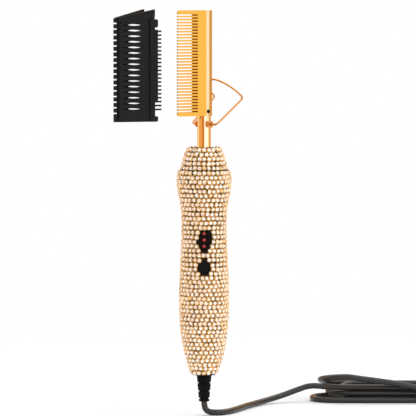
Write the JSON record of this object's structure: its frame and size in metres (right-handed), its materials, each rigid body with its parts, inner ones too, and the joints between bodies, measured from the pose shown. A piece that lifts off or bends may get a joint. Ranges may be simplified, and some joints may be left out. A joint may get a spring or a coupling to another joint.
{
  "type": "hot comb",
  "caption": "Electric hot comb: slotted metal comb on a crystal-covered handle with lamps and button, folding wire stand, slide-on guard and mains cord",
  "frame": {"origin": "on the handle's axis at the middle of the grip", "axes": "+Z along the handle towards the comb, -Y out of the face with the lamps and the button, +X to that face's right"},
  "size_m": [0.3875, 0.174, 0.3172],
  "materials": {
    "gold_head": "bright gold anodised",
    "gold_wire": "bright gold plated",
    "steel": "bright",
    "black_screw": "black oxide",
    "crystal": "faceted champagne stones with gold foil backs",
    "black_plastic": "matt moulded",
    "gloss_black": "gloss moulded",
    "red_lamp": "translucent red",
    "ceramic": "unglazed ceramic",
    "insulation": "amber film wrap",
    "lead_sleeve": "silicone sleeve",
    "board": "solder mask",
    "component": "moulded case",
    "black_rubber": "satin",
    "plug_metal": "nickel plated"
  },
  "bodies": {
    "handle": {"comb_head": "gold_head", "neck_tube": "gold_head", "pivot_eyelets": "gold_wire", "head_set_screw": "black_screw", "heater_core": "ceramic", "heater_insulation": "insulation", "heater_leads": "lead_sleeve", "thermal_fuse": "steel", "thermistor": "lead_sleeve", "neck_bush": "ceramic", "bush_screws": "steel", "handle_front_shell": "black_plastic", "handle_back_shell": "black_plastic", "shell_screws": "black_screw", "collar_crystals": "crystal", "handle_crystals": "crystal", "control_board": "board", "board_screws": "steel", "tact_switch": "component", "button_bezel": "gloss_black", "led_window": "gloss_black", "indicator_lamps": "red_lamp", "led_holder": "black_plastic", "film_capacitor": "component", "power_triac": "black_plastic", "strain_relief": "black_rubber", "inner_cord": "black_rubber", "cord_clamp": "black_plastic", "clamp_screws": "steel", "mains_leads": "lead_sleeve", "cord_tube": "black_rubber", "cord_hank": "black_rubber", "hank_tie": "black_rubber", "plug_relief": "black_rubber", "plug_body": "black_rubber", "plug_blades": "plug_metal"},
    "stand": {"stand_wire": "gold_wire"},
    "button": {"power_button": "black_plastic", "switch_plunger": "black_plastic"},
    "guard": {"guard_shell": "black_plastic", "guard_fine_comb": "black_plastic"}
  },
  "joints": [
    {"name": "stand_fold", "type": "hinge", "parent": "handle", "child": "stand", "pos_m": [0, 0, 0.0866], "axis": [-0.5446, 0.8387, 0], "range_deg": [0, 100]},
    {"name": "button_press", "type": "slide", "parent": "handle", "child": "button", "axis": [0, 1, 0], "range_m": [0, 0.0006], "stiffness_N_per_m": 1500},
    {"name": "guard_slide", "type": "slide", "parent": "handle", "child": "guard", "axis": [0.8387, 0.5446, 0], "range_m": [0, 0.0521]}
  ]
}
